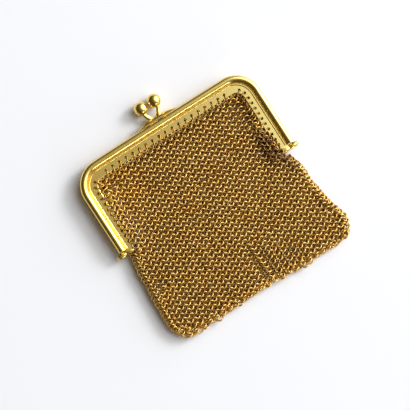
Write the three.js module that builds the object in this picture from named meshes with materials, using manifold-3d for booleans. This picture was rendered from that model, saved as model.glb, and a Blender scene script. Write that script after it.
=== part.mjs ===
// A small ring-mesh coin purse, shut and lying flat on its back.
// X runs along the bar of the frame, +Y from the bag to the clasp and +Z upwards. Lengths are millimetres.
// The top of the bar's outline is at y = 0 while the pieces are made, and the whole is centred at the end.

import * as THREE from 'three';
import { mergeVertices } from 'three/addons/utils/BufferGeometryUtils.js';
import Module from 'manifold-3d';

// Frame outline
const FRAME_WIDTH = 64;
const ARM_LENGTH = 27.8;
const CORNER_RADIUS = 8.5;
const BAR_BOW = 0.1;

// Pressed section of one half, measured from its outer edge and from the face where the halves meet
const SHEET = 0.5;
const BEAD_WIDTH = 2.35;
const BEAD_HEIGHT = 2.3;
const GROOVE_WIDTH = 0.15;
const RIDGE_WIDTH = 0.6;
const RIDGE_HEIGHT = 0.25;
const FLANGE_REACH = 5.6;
const FLANGE_LEVEL = 0.95;

// Holes of the flange
const HOLE_DIAMETER = 1.0;
const HOLE_TO_EDGE = 1.1;
const HOLE_TO_ARM_END = 1.3;
const BAR_HOLE_PITCH = 2.4;
const ARM_HOLE_PITCH = 1.9;

// Clearance between neighbouring pieces
const GAP = 0.3;

// Ball clasp
const BALL_DIAMETER = 4.4;
const BALL_SPACING = 4.75;
const BALL_RISE = 5.65;
const STEM_WIDTH = 1.45;
const STEM_DEPTH = 0.9;
const FOOT_LENGTH = 14.4;
const FOOT_HEIGHT = 1.3;
const FOOT_DEPTH = 1.4;

// Bends of a stem from foot to ball. outward is a share of half of BALL_SPACING, rise a share of the way up to
// the ball, and level is a share of the way from the middle of the foot to the face where the halves meet.
const STEM_BENDS = [
  { outward: 0.40, rise: 0.00, level: 0.0 },
  { outward: 0.62, rise: 0.22, level: 0.3 },
  { outward: 0.92, rise: 0.45, level: 0.7 },
  { outward: 1.06, rise: 0.68, level: 1.0 },
  { outward: 1.00, rise: 1.00, level: 1.0 },
];

// Hinge
const KNUCKLE_DIAMETER = 1.8;
const KNUCKLE_LENGTH = 2.45;
const KNUCKLE_OVERHANG = 0.6;
const PIN_DIAMETER = 0.5;
const PIN_HEAD_DIAMETER = 1.4;
const PIN_HEAD_HEIGHT = 0.35;

// Bag of ring mesh
const BAG_DEPTH = 60.8;
const BAG_HEIGHT = 4.1;
const MESH_THICKNESS = 1.4;
const BAG_CORNER_RADIUS = 5.5;
const BAG_EDGE_RADIUS = 1.5;
const FOLD_DEPTH = 0.45;
const FOOT_SLANT = 1.1;

// Edges and thickness of the bag below the hinge. down is a share of BAG_DEPTH from the top of the bar,
// left and right are shares of half of FRAME_WIDTH, and height is a share of BAG_HEIGHT.
const BAG_OUTLINE = [
  { down: 0.50, left: 0.925, right: 0.915, height: 0.97 },
  { down: 0.58, left: 0.953, right: 0.96, height: 0.95 },
  { down: 0.66, left: 0.958, right: 0.96, height: 0.94 },
  { down: 0.74, left: 0.975, right: 0.98, height: 0.92 },
  { down: 0.82, left: 0.982, right: 1.01, height: 0.90 },
  { down: 0.90, left: 0.982, right: 1.052, height: 0.87 },
  { down: 1.00, left: 0.96, right: 1.045, height: 0.80 },
];

// Soft folds and dents in the upper side of the bag. across is a share of half of FRAME_WIDTH from the centre,
// from, full and end are shares of BAG_DEPTH, width is a share of FRAME_WIDTH and depth one of FOLD_DEPTH.
const BAG_FOLDS = [
  { across: 0.07, from: 0.72, full: 0.90, end: 1.10, width: 0.035, depth: 1.0 },
  { across: 0.24, from: 0.74, full: 0.92, end: 1.10, width: 0.035, depth: 0.9 },
  { across: 0.42, from: 0.76, full: 0.93, end: 1.10, width: 0.035, depth: 0.8 },
  { across: -0.38, from: 0.80, full: 0.96, end: 1.12, width: 0.04, depth: 0.6 },
  { across: 0.74, from: 0.28, full: 0.42, end: 0.56, width: 0.06, depth: 1.0 },
];

// Number of sides and steps
const BEAD_STEPS = 8;
const LINING_STEPS = 5;
const RIDGE_STEPS = 3;
const CORNER_STEPS = 8;
const BAR_STEPS = 8;
const HOLE_SIDES = 8;
const BALL_SIDES = 16;
const KNUCKLE_SIDES = 12;
const PIN_SIDES = 10;
const STEM_STEPS = 8;
const BAG_STEPS = 22;

// Working values
const MIDDLE = BEAD_HEIGHT + GAP / 2;
const HALF_WIDTH = FRAME_WIDTH / 2;
const CORNER_X = HALF_WIDTH - CORNER_RADIUS;
const BAR_RADIUS = (CORNER_X ** 2 + BAR_BOW ** 2) / (2 * BAR_BOW);
const CORNER_Y = Math.sqrt((BAR_RADIUS - CORNER_RADIUS) ** 2 - CORNER_X ** 2) - BAR_RADIUS;
const BAR_ANGLE = Math.asin(CORNER_X / (BAR_RADIUS - CORNER_RADIUS));
const FRONT = 1;
const BACK = -1;
const LEFT = -1;
const RIGHT = 1;

const wasm = await Module();
wasm.setup();

const gilt = new THREE.MeshStandardMaterial({ color: 0xd9b658, roughness: 0.22, metalness: 1 });
const giltMesh = new THREE.MeshStandardMaterial({ color: 0xb98a35, roughness: 0.38, metalness: 1 });

// Turns a closed geometry into a solid that can be joined and cut.
function toSolid(geometry) {
  const bare = geometry.clone();
  bare.deleteAttribute('normal');
  bare.deleteAttribute('uv');
  const merged = mergeVertices(bare);
  const corners = merged.index.array;
  const triangles = [];
  for (let i = 0; i < corners.length; i += 3) {
    const [a, b, c] = corners.slice(i, i + 3);
    if (a !== b && b !== c && c !== a) {
      triangles.push(a, b, c);
    }
  }
  const vertProperties = new Float32Array(merged.attributes.position.array);
  const triVerts = new Uint32Array(triangles);
  return new wasm.Manifold(new wasm.Mesh({ numProp: 3, vertProperties, triVerts }));
}

// Names a finished solid and gives it its material.
function toMesh(name, solid, material) {
  const { vertProperties, triVerts } = solid.getMesh();
  const geometry = new THREE.BufferGeometry();
  geometry.setAttribute('position', new THREE.BufferAttribute(new Float32Array(vertProperties), 3));
  geometry.setIndex(new THREE.BufferAttribute(new Uint32Array(triVerts), 1));
  geometry.computeVertexNormals();
  const mesh = new THREE.Mesh(geometry, material);
  mesh.name = name;
  return mesh;
}

function joinAll(solids) {
  return solids.reduce((whole, solid) => whole.add(solid));
}

// A path that passes through chosen stations, each with its own exact direction.
class StationPath extends THREE.Curve {
  constructor(stations) {
    super();
    this.stations = stations;
  }

  station(share) {
    return this.stations[Math.round(share * (this.stations.length - 1))];
  }

  getPoint(share) {
    return this.station(share).point.clone();
  }

  getPointAt(share) {
    return this.getPoint(share);
  }

  getTangentAt(share) {
    return this.station(share).tangent.clone();
  }
}

// One station on an arc, with the angle taken clockwise from +Y.
function arcStation(centreX, centreY, radius, angle) {
  const x = centreX + radius * Math.sin(angle);
  const y = centreY + radius * Math.cos(angle);
  const point = new THREE.Vector3(x, y, MIDDLE);
  const tangent = new THREE.Vector3(Math.cos(angle), -Math.sin(angle), 0);
  return { point, tangent };
}

// Stations along the outer edge of the frame, from the end of the left arm to the end of the right arm.
function frameStations() {
  const stations = [arcStation(0, -ARM_LENGTH, HALF_WIDTH, -Math.PI / 2)];
  for (let i = 0; i <= CORNER_STEPS; i += 1) {
    const angle = THREE.MathUtils.lerp(-Math.PI / 2, -BAR_ANGLE, i / CORNER_STEPS);
    stations.push(arcStation(-CORNER_X, CORNER_Y, CORNER_RADIUS, angle));
  }
  for (let i = 1; i < BAR_STEPS; i += 1) {
    const angle = THREE.MathUtils.lerp(-BAR_ANGLE, BAR_ANGLE, i / BAR_STEPS);
    stations.push(arcStation(0, -BAR_RADIUS, BAR_RADIUS, angle));
  }
  for (let i = 0; i <= CORNER_STEPS; i += 1) {
    const angle = THREE.MathUtils.lerp(BAR_ANGLE, Math.PI / 2, i / CORNER_STEPS);
    stations.push(arcStation(CORNER_X, CORNER_Y, CORNER_RADIUS, angle));
  }
  stations.push(arcStation(0, -ARM_LENGTH, HALF_WIDTH, Math.PI / 2));
  return stations;
}

// A point on the frame's outline set inwards, at a distance along it from the middle of the bar.
function pointOnInset(inset, distance, side) {
  const barLength = BAR_ANGLE * (BAR_RADIUS - inset);
  const cornerLength = (Math.PI / 2 - BAR_ANGLE) * (CORNER_RADIUS - inset);
  let station;
  if (distance <= barLength) {
    station = arcStation(0, -BAR_RADIUS, BAR_RADIUS - inset, distance / (BAR_RADIUS - inset));
  } else if (distance <= barLength + cornerLength) {
    const angle = BAR_ANGLE + (distance - barLength) / (CORNER_RADIUS - inset);
    station = arcStation(CORNER_X, CORNER_Y, CORNER_RADIUS - inset, angle);
  } else {
    const down = distance - barLength - cornerLength;
    station = arcStation(0, CORNER_Y - down, HALF_WIDTH - inset, Math.PI / 2);
  }
  return new THREE.Vector2(side * station.point.x, station.point.y);
}

// Section points are given as inward distance and height above the face where the halves meet.
function sectionShape(points, half) {
  const placed = points.map(([inward, height]) => new THREE.Vector2(-half * (GAP / 2 + height), -inward));
  return new THREE.Shape(placed);
}

function arcPoints(centreX, centreY, radiusX, radiusY, steps, towardsLeft) {
  const points = [];
  for (let i = 0; i <= steps; i += 1) {
    const share = towardsLeft ? 1 - i / steps : i / steps;
    const angle = Math.PI * (1 - share);
    points.push([centreX + radiusX * Math.cos(angle), centreY + radiusY * Math.sin(angle)]);
  }
  return points;
}

// The pressed sheet: round bead, groove, thin ridge and flat flange, with the bead hollow underneath.
function halfSection() {
  const beadRadius = BEAD_WIDTH / 2;
  const spring = BEAD_HEIGHT - beadRadius;
  const ridgeMiddle = BEAD_WIDTH + GROOVE_WIDTH + RIDGE_WIDTH / 2;
  const flangeUnder = FLANGE_LEVEL - SHEET;
  return [
    [0, 0],
    ...arcPoints(beadRadius, spring, beadRadius, beadRadius, BEAD_STEPS, false),
    [BEAD_WIDTH + GROOVE_WIDTH / 2, FLANGE_LEVEL],
    ...arcPoints(ridgeMiddle, FLANGE_LEVEL, RIDGE_WIDTH / 2, RIDGE_HEIGHT, RIDGE_STEPS, false),
    [FLANGE_REACH, FLANGE_LEVEL],
    [FLANGE_REACH, flangeUnder],
    [BEAD_WIDTH - SHEET, flangeUnder],
    ...arcPoints(beadRadius, spring, beadRadius - SHEET, beadRadius - SHEET, LINING_STEPS, true),
    [SHEET, 0],
  ];
}

// The outer outline of the bead alone, which closes the end of an arm.
function capSection() {
  const beadRadius = BEAD_WIDTH / 2;
  const spring = BEAD_HEIGHT - beadRadius;
  return [
    [0, 0],
    ...arcPoints(beadRadius, spring, beadRadius, beadRadius, BEAD_STEPS, false),
    [BEAD_WIDTH, 0],
  ];
}

function sweep(points, half, stations) {
  const path = new StationPath(stations);
  const settings = { steps: stations.length - 1, extrudePath: path };
  return toSolid(new THREE.ExtrudeGeometry(sectionShape(points, half), settings));
}

// A thin cap across the bead at the end of one arm.
function armCap(half, arm) {
  const end = arcStation(0, -ARM_LENGTH, HALF_WIDTH, arm * Math.PI / 2);
  const inside = arcStation(0, -ARM_LENGTH + SHEET, HALF_WIDTH, arm * Math.PI / 2);
  const stations = arm === LEFT ? [end, inside] : [inside, end];
  return sweep(capSection(), half, stations);
}

// Distances of the holes along the line that they follow, from the middle of the bar to the end of one arm.
function holeDistances(inset) {
  const barLength = BAR_ANGLE * (BAR_RADIUS - inset);
  const cornerLength = (Math.PI / 2 - BAR_ANGLE) * (CORNER_RADIUS - inset);
  const armLength = ARM_LENGTH + CORNER_Y - HOLE_TO_ARM_END;
  const cornerHole = barLength + cornerLength / 2;
  const distances = [];
  for (let along = BAR_HOLE_PITCH; along <= barLength; along += BAR_HOLE_PITCH) {
    distances.push(along);
  }
  for (let along = cornerHole; along <= barLength + cornerLength + armLength; along += ARM_HOLE_PITCH) {
    distances.push(along);
  }
  return distances;
}

function flangeHoles(half) {
  const inset = FLANGE_REACH - HOLE_TO_EDGE;
  const distances = holeDistances(inset);
  const places = [
    pointOnInset(inset, 0, RIGHT),
    ...distances.map((distance) => pointOnInset(inset, distance, LEFT)),
    ...distances.map((distance) => pointOnInset(inset, distance, RIGHT)),
  ];
  const height = MIDDLE + half * (GAP / 2 + FLANGE_LEVEL - SHEET / 2);
  return joinAll(places.map((place) => {
    const drill = new THREE.CylinderGeometry(HOLE_DIAMETER / 2, HOLE_DIAMETER / 2, 2 * SHEET, HOLE_SIDES);
    drill.rotateX(Math.PI / 2);
    drill.translate(place.x, place.y, height);
    return toSolid(drill);
  }));
}

// The long tapered leaf that the stem stands on, soldered along the top of the bar.
function claspFoot(half) {
  const outline = new THREE.Shape();
  const steps = 10;
  const halfLength = FOOT_LENGTH / 2;
  const barTop = (x) => Math.sqrt(BAR_RADIUS ** 2 - x ** 2) - BAR_RADIUS;
  outline.moveTo(-halfLength, barTop(halfLength) - SHEET / 2);
  for (let i = 0; i <= steps; i += 1) {
    const x = THREE.MathUtils.lerp(-halfLength, halfLength, i / steps);
    const taper = 1 - Math.abs(x / halfLength) ** 3;
    outline.lineTo(x, barTop(x) + FOOT_HEIGHT * taper);
  }
  outline.lineTo(halfLength, barTop(halfLength) - SHEET / 2);
  const foot = new THREE.ExtrudeGeometry(outline, { depth: FOOT_DEPTH, bevelEnabled: false });
  foot.translate(0, 0, half === FRONT ? MIDDLE + GAP / 2 : MIDDLE - GAP / 2 - FOOT_DEPTH);
  return toSolid(foot);
}

// The bent stem: the front half's leans to the right and the back half's to the left.
function claspStem(half) {
  const ballX = half * BALL_SPACING / 2;
  const footZ = MIDDLE + half * (GAP / 2 + FOOT_DEPTH / 2);
  const route = new THREE.CatmullRomCurve3(STEM_BENDS.map((bend) => new THREE.Vector3(
    bend.outward * ballX,
    THREE.MathUtils.lerp(FOOT_HEIGHT / 3, BALL_RISE, bend.rise),
    THREE.MathUtils.lerp(footZ, MIDDLE, bend.level),
  )));
  const section = new THREE.Shape();
  section.absellipse(0, 0, STEM_DEPTH / 2, STEM_WIDTH / 2, 0, 2 * Math.PI);
  const options = { steps: STEM_STEPS, curveSegments: 4, extrudePath: route };
  return toSolid(new THREE.ExtrudeGeometry(section, options));
}

function claspBall(half) {
  const ball = new THREE.SphereGeometry(BALL_DIAMETER / 2, BALL_SIDES, BALL_SIDES / 2 + 2);
  ball.rotateX(Math.PI / 2);
  ball.translate(half * BALL_SPACING / 2, BALL_RISE, MIDDLE);
  return toSolid(ball);
}

// A cylinder along X between two distances inward from the outer edge of one arm.
function alongHinge(diameter, from, to, arm, sides) {
  const shape = new THREE.CylinderGeometry(diameter / 2, diameter / 2, to - from, sides);
  shape.rotateZ(Math.PI / 2);
  shape.translate(arm * (HALF_WIDTH - (from + to) / 2), hingeY(), MIDDLE);
  return toSolid(shape);
}

function hingeY() {
  return -ARM_LENGTH - GAP - KNUCKLE_DIAMETER / 2;
}

// Start of a knuckle, inward from the outer edge of the arm. The back half has the outer knuckle.
function knuckleStart(half) {
  return half === BACK ? -KNUCKLE_OVERHANG : -KNUCKLE_OVERHANG + KNUCKLE_LENGTH + GAP;
}

// One knuckle with the short strap that ties it to the end of the arm, and the bore of the pin.
function knuckle(half, arm) {
  const start = knuckleStart(half);
  const end = start + KNUCKLE_LENGTH;
  const strapFrom = Math.max(start, 0);
  const strapHeight = KNUCKLE_DIAMETER / 2 - GAP / 2;
  const strapLength = GAP + KNUCKLE_DIAMETER / 2 + SHEET;
  const strap = new THREE.BoxGeometry(end - strapFrom, strapLength, strapHeight);
  strap.translate(
    arm * (HALF_WIDTH - (strapFrom + end) / 2),
    hingeY() + strapLength / 2,
    MIDDLE + half * (GAP / 2 + strapHeight / 2),
  );
  const bore = alongHinge(PIN_DIAMETER + 2 * GAP, start - GAP, end + GAP, arm, PIN_SIDES);
  return alongHinge(KNUCKLE_DIAMETER, start, end, arm, KNUCKLE_SIDES).add(toSolid(strap)).subtract(bore);
}

function frameHalf(half) {
  const pressed = sweep(halfSection(), half, frameStations()).subtract(flangeHoles(half));
  return joinAll([
    pressed,
    armCap(half, LEFT),
    armCap(half, RIGHT),
    knuckle(half, LEFT),
    knuckle(half, RIGHT),
    claspFoot(half),
    claspStem(half),
    claspBall(half),
  ]);
}

// A pin with a domed head at each end, turned about X.
function hingePin(arm) {
  const inner = knuckleStart(FRONT) + KNUCKLE_LENGTH + GAP;
  const outer = -KNUCKLE_OVERHANG - GAP;
  const shank = PIN_DIAMETER / 2;
  const head = PIN_HEAD_DIAMETER / 2;
  const profile = [
    new THREE.Vector2(0, outer - PIN_HEAD_HEIGHT),
    new THREE.Vector2(head * 0.7, outer - PIN_HEAD_HEIGHT * 0.75),
    new THREE.Vector2(head, outer),
    new THREE.Vector2(shank, outer),
    new THREE.Vector2(shank, inner),
    new THREE.Vector2(head, inner),
    new THREE.Vector2(head * 0.7, inner + PIN_HEAD_HEIGHT * 0.75),
    new THREE.Vector2(0, inner + PIN_HEAD_HEIGHT),
  ];
  const pin = new THREE.LatheGeometry(profile, PIN_SIDES);
  pin.rotateZ(arm === RIGHT ? Math.PI / 2 : -Math.PI / 2);
  pin.translate(arm * HALF_WIDTH, hingeY(), MIDDLE);
  return toSolid(pin);
}

// One named column of a table, read between its rows.
function readTable(table, column, down) {
  const last = table.length - 1;
  if (down <= table[0].down) {
    return table[0][column];
  }
  if (down >= table[last].down) {
    return table[last][column];
  }
  const next = table.findIndex((row) => row.down > down);
  const before = table[next - 1];
  const after = table[next];
  const share = THREE.MathUtils.smoothstep(down, before.down, after.down);
  const straight = (down - before.down) / (after.down - before.down);
  return THREE.MathUtils.lerp(before[column], after[column], (share + straight) / 2);
}

// Depth of the folds and dents at a place on the upper side of the bag.
function foldDepth(x, down) {
  return BAG_FOLDS.reduce((depth, fold) => {
    const across = (x - fold.across * HALF_WIDTH) / (fold.width * FRAME_WIDTH);
    const rise = THREE.MathUtils.smoothstep(down, fold.from, fold.full);
    const fall = 1 - THREE.MathUtils.smoothstep(down, fold.full, fold.end);
    return depth + FOLD_DEPTH * fold.depth * Math.exp(-across * across) * Math.min(rise, fall);
  }, 0);
}

// Left and right edges of the bag at a distance below the top of the bar.
function bagEdges(below) {
  const mouthTop = FLANGE_REACH + GAP;
  const betweenArms = HALF_WIDTH - mouthTop;
  const hingeBottom = GAP - hingeY() + KNUCKLE_DIAMETER / 2;
  const down = below / BAG_DEPTH;
  const freeing = THREE.MathUtils.smoothstep(below, hingeBottom, hingeBottom + KNUCKLE_DIAMETER);
  const freeLeft = readTable(BAG_OUTLINE, 'left', down) * HALF_WIDTH;
  const freeRight = readTable(BAG_OUTLINE, 'right', down) * HALF_WIDTH;
  const left = THREE.MathUtils.lerp(betweenArms, freeLeft, freeing);
  const right = THREE.MathUtils.lerp(betweenArms, freeRight, freeing);
  const mouthCorner = Math.max(CORNER_RADIUS - mouthTop, GAP);
  const upper = Math.max(mouthTop + mouthCorner - below, 0);
  const lower = Math.max(below - BAG_DEPTH + BAG_CORNER_RADIUS, 0);
  const trim = mouthCorner - Math.sqrt(Math.max(mouthCorner ** 2 - upper ** 2, 0))
    + BAG_CORNER_RADIUS - Math.sqrt(Math.max(BAG_CORNER_RADIUS ** 2 - lower ** 2, 0));
  return { left: -left + trim, right: right - trim };
}

// Distances below the top of the bar at which the bag's sections are taken, closer in its rounded corners.
function bagRows() {
  const mouthTop = FLANGE_REACH + GAP;
  const mouthCorner = Math.max(CORNER_RADIUS - mouthTop, GAP);
  const rows = [];
  for (let i = 0; i < 3; i += 1) {
    rows.push(mouthTop + mouthCorner * (1 - Math.cos(i * Math.PI / 6)));
  }
  for (let i = 0; i <= BAG_STEPS; i += 1) {
    rows.push(THREE.MathUtils.lerp(mouthTop + mouthCorner, BAG_DEPTH - BAG_CORNER_RADIUS, i / BAG_STEPS));
  }
  for (let i = 2; i >= 0; i -= 1) {
    rows.push(BAG_DEPTH - BAG_CORNER_RADIUS * (1 - Math.cos(i * Math.PI / 6)));
  }
  return rows;
}

// The bag's sections follow the bow of the bar near the mouth, and towards the foot they hang lower on the right.
function bagY(x, below) {
  const down = below / BAG_DEPTH;
  const bow = Math.sqrt(BAR_RADIUS ** 2 - x ** 2) - BAR_RADIUS;
  const slant = FOOT_SLANT * THREE.MathUtils.smoothstep(x, 0, HALF_WIDTH / 2) * down ** 2;
  return bow * (1 - down) - below - slant;
}

// A closed skin through loops, each with a row of upper points from left to right and a row of lower ones.
// Each end is drawn together on a line at half its height.
function skinLoops(sections) {
  const closeEnd = ({ upper, lower }) => {
    const level = (upper[Math.floor(upper.length / 2)].z + lower[0].z) / 2;
    const spine = lower.map((point) => new THREE.Vector3(point.x, point.y, level));
    const last = spine.length - 1;
    const above = upper.map((point, i) => spine[last - Math.round(last * i / (upper.length - 1))]);
    return [...above, ...spine];
  };
  const loops = sections.map(({ upper, lower }) => [...upper, ...lower]);
  const rows = [closeEnd(sections[0]), ...loops, closeEnd(sections[sections.length - 1])];
  const around = loops[0].length;
  const positions = rows.flatMap((row) => row.flatMap((point) => point.toArray()));
  const index = [];
  for (let row = 0; row + 1 < rows.length; row += 1) {
    for (let i = 0; i < around; i += 1) {
      const a = row * around + i;
      const b = row * around + (i + 1) % around;
      index.push(a, b + around, b, a, a + around, b + around);
    }
  }
  const geometry = new THREE.BufferGeometry();
  geometry.setAttribute('position', new THREE.Float32BufferAttribute(positions, 3));
  geometry.setIndex(index);
  return toSolid(geometry);
}

// The outer form of the bag: flat below, where it lies, with soft edges and folds above.
function bagOutside() {
  const across = 36;
  const under = 8;
  return skinLoops(bagRows().map((below) => {
    const { left, right } = bagEdges(below);
    const down = below / BAG_DEPTH;
    const height = readTable(BAG_OUTLINE, 'height', down) * BAG_HEIGHT;
    const hemShare = THREE.MathUtils.smoothstep(below, BAG_DEPTH - BAG_EDGE_RADIUS, BAG_DEPTH);
    const edge = THREE.MathUtils.lerp(GAP, BAG_EDGE_RADIUS, THREE.MathUtils.smoothstep(down, 0.45, 0.6));
    const upper = [];
    for (let i = 0; i <= across; i += 1) {
      const x = THREE.MathUtils.lerp(left, right, (1 - Math.cos(Math.PI * i / across)) / 4 + i / across / 2);
      const fromEdge = Math.min(x - left, right - x, edge);
      const drop = edge - Math.sqrt(edge ** 2 - (edge - fromEdge) ** 2);
      const z = height - drop - foldDepth(x, down) - hemShare * BAG_EDGE_RADIUS / 2;
      upper.push(new THREE.Vector3(x, bagY(x, below), z));
    }
    const lower = [];
    for (let i = 0; i <= under; i += 1) {
      const x = THREE.MathUtils.lerp(right - edge / 2, left + edge / 2, i / under);
      lower.push(new THREE.Vector3(x, bagY(x, below), 0));
    }
    return { upper, lower };
  }));
}

// The space inside the bag, open all along the mouth between the arms of the frame.
function bagInside() {
  const across = 12;
  const hingeBottom = -hingeY() + KNUCKLE_DIAMETER / 2;
  const start = FLANGE_REACH;
  const end = BAG_DEPTH - 2 * MESH_THICKNESS;
  const halfway = bagRows().map((below, i, all) => (i === 0 ? below : (all[i - 1] + below) / 2));
  const rows = halfway.filter((below) => below > FLANGE_REACH + CORNER_RADIUS && below < end - GAP);
  return skinLoops([start, ...rows, end].map((below) => {
    const edges = bagEdges(Math.max(below, FLANGE_REACH + CORNER_RADIUS));
    const closing = THREE.MathUtils.smoothstep(below, hingeBottom - KNUCKLE_DIAMETER, hingeBottom);
    const margin = THREE.MathUtils.lerp(-GAP, MESH_THICKNESS, closing);
    const left = edges.left + margin;
    const right = edges.right - margin;
    const down = below / BAG_DEPTH;
    const height = readTable(BAG_OUTLINE, 'height', down) * BAG_HEIGHT;
    const upper = [];
    const lower = [];
    for (let i = 0; i <= across; i += 1) {
      const x = THREE.MathUtils.lerp(left, right, i / across);
      const z = Math.max(height - foldDepth(x, down) - MESH_THICKNESS, MESH_THICKNESS + GAP / 2);
      upper.push(new THREE.Vector3(x, bagY(x, below), z));
      lower.push(new THREE.Vector3(x, bagY(x, below), MESH_THICKNESS));
    }
    return { upper, lower: lower.reverse() };
  }));
}

const purse = new THREE.Group();
purse.add(toMesh('frame_front', frameHalf(FRONT), gilt));
purse.add(toMesh('frame_back', frameHalf(BACK), gilt));
purse.add(toMesh('hinge_pin_left', hingePin(LEFT), gilt));
purse.add(toMesh('hinge_pin_right', hingePin(RIGHT), gilt));
purse.add(toMesh('mesh_bag', bagOutside().subtract(bagInside()), giltMesh));

// The origin is under the middle of the whole, on the surface that it lies on.
const box = new THREE.Box3().setFromObject(purse);
const centre = box.getCenter(new THREE.Vector3());
purse.position.set(-centre.x, -centre.y, -box.min.z);

export default purse;
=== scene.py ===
# A small ring-mesh coin purse of gilt brass, shut and lying flat on its back.
import math

import bpy
import numpy as np
from mathutils import Matrix, Vector


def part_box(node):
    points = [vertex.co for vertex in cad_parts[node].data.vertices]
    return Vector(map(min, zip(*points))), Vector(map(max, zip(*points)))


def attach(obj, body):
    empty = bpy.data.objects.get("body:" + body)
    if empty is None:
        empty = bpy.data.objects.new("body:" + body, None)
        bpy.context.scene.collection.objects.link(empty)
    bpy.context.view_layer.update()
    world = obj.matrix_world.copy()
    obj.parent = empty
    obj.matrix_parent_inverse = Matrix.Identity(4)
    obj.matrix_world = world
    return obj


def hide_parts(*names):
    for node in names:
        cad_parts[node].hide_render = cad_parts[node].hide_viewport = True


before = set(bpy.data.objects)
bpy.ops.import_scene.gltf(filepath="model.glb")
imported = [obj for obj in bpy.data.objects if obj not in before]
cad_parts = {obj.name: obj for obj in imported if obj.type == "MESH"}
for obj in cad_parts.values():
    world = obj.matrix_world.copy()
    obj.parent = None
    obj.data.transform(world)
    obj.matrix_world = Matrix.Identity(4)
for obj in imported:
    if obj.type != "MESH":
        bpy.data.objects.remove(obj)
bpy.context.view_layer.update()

# The two half frames
# Each half is a strip of sheet brass pressed to a round bead, a groove, a thin ridge and a flat flange,
# bent to a wide U and fire gilt. The flange is punched along its edge with a row of holes that the mesh
# hangs from.
mm = 0.001
FRONT = 1
BACK = -1
sheet_thickness = 0.5 * mm
bead_width = 2.35 * mm
bead_height = 2.3 * mm
groove_width = 0.15 * mm
ridge_width = 0.6 * mm
ridge_height = 0.25 * mm
flange_reach = 5.6 * mm
flange_level = 0.95 * mm
corner_radius = 8.5 * mm
bar_bow = 0.1 * mm
half_gap = 0.3 * mm
hole_diameter = 1.0 * mm
hole_to_edge = 1.1 * mm
hole_to_arm_end = 1.3 * mm
bar_hole_pitch = 2.4 * mm
arm_hole_pitch = 1.9 * mm
ball_diameter = 4.4 * mm
ball_rise = 5.65 * mm
knuckle_diameter = 1.8 * mm

front_low, front_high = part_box("frame_front")
back_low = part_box("frame_back")[0]
frame_width = front_high.x - front_low.x
bar_middle = (front_low.x + front_high.x) / 2
bar_top = front_high.y - ball_rise - ball_diameter / 2
hinge_y = front_low.y + knuckle_diameter / 2
arm_length = bar_top - hinge_y - knuckle_diameter / 2 - half_gap
meeting_level = (back_low.z + front_high.z) / 2

half_width = frame_width / 2
corner_x = half_width - corner_radius
bar_radius = (corner_x ** 2 + bar_bow ** 2) / (2 * bar_bow)
corner_y = math.sqrt((bar_radius - corner_radius) ** 2 - corner_x ** 2) - bar_radius
bar_angle = math.asin(corner_x / (bar_radius - corner_radius))


def add_node(tree, kind, settings=None, inputs=None):
    """Adds a node with its settings, and values or links for its inputs."""
    made = tree.nodes.new(kind)
    for name, value in (settings or {}).items():
        setattr(made, name, value)
    for name, value in (inputs or {}).items():
        if isinstance(value, bpy.types.NodeSocket):
            tree.links.new(value, made.inputs[name])
        else:
            made.inputs[name].default_value = value
    return made


def linear(code):
    """An sRGB hex colour as linear values."""
    parts = [int(code[i:i + 2], 16) / 255 for i in (1, 3, 5)]
    return [c / 12.92 if c <= 0.04045 else ((c + 0.055) / 1.055) ** 2.4 for c in parts] + [1.0]


def add_object(name, vertices, faces):
    """A mesh object at the origin, with its place in its mesh."""
    mesh = bpy.data.meshes.new(name)
    mesh.from_pydata([tuple(v) for v in vertices], [], [tuple(f) for f in faces])
    mesh.update()
    made = bpy.data.objects.new(name, mesh)
    bpy.context.scene.collection.objects.link(made)
    return made


def on_arc(centre_x, centre_y, radius, angle):
    """Place and direction on an arc of the frame's outline, with the angle taken clockwise from +Y."""
    place = (bar_middle + centre_x + radius * math.sin(angle), bar_top + centre_y + radius * math.cos(angle))
    return place, (math.cos(angle), -math.sin(angle))


def outline_stations(corner_steps=22, bar_steps=20):
    """Places and directions along the outer edge of the frame, from the left arm's end to the right arm's."""
    stations = [on_arc(0, -arm_length, half_width, -math.pi / 2)]
    for i in range(corner_steps + 1):
        angle = -math.pi / 2 + (math.pi / 2 - bar_angle) * i / corner_steps
        stations.append(on_arc(-corner_x, corner_y, corner_radius, angle))
    for i in range(1, bar_steps):
        stations.append(on_arc(0, -bar_radius, bar_radius, bar_angle * (2 * i / bar_steps - 1)))
    for i in range(corner_steps + 1):
        angle = bar_angle + (math.pi / 2 - bar_angle) * i / corner_steps
        stations.append(on_arc(corner_x, corner_y, corner_radius, angle))
    stations.append(on_arc(0, -arm_length, half_width, math.pi / 2))
    return stations


def half_arc(middle, level, radius_in, radius_up, steps):
    """Points over a half round, from its outer to its inner side, as inward distance and height."""
    angles = [math.pi * (1 - i / steps) for i in range(steps + 1)]
    return [(middle + radius_in * math.cos(a), level + radius_up * math.sin(a)) for a in angles]


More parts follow.
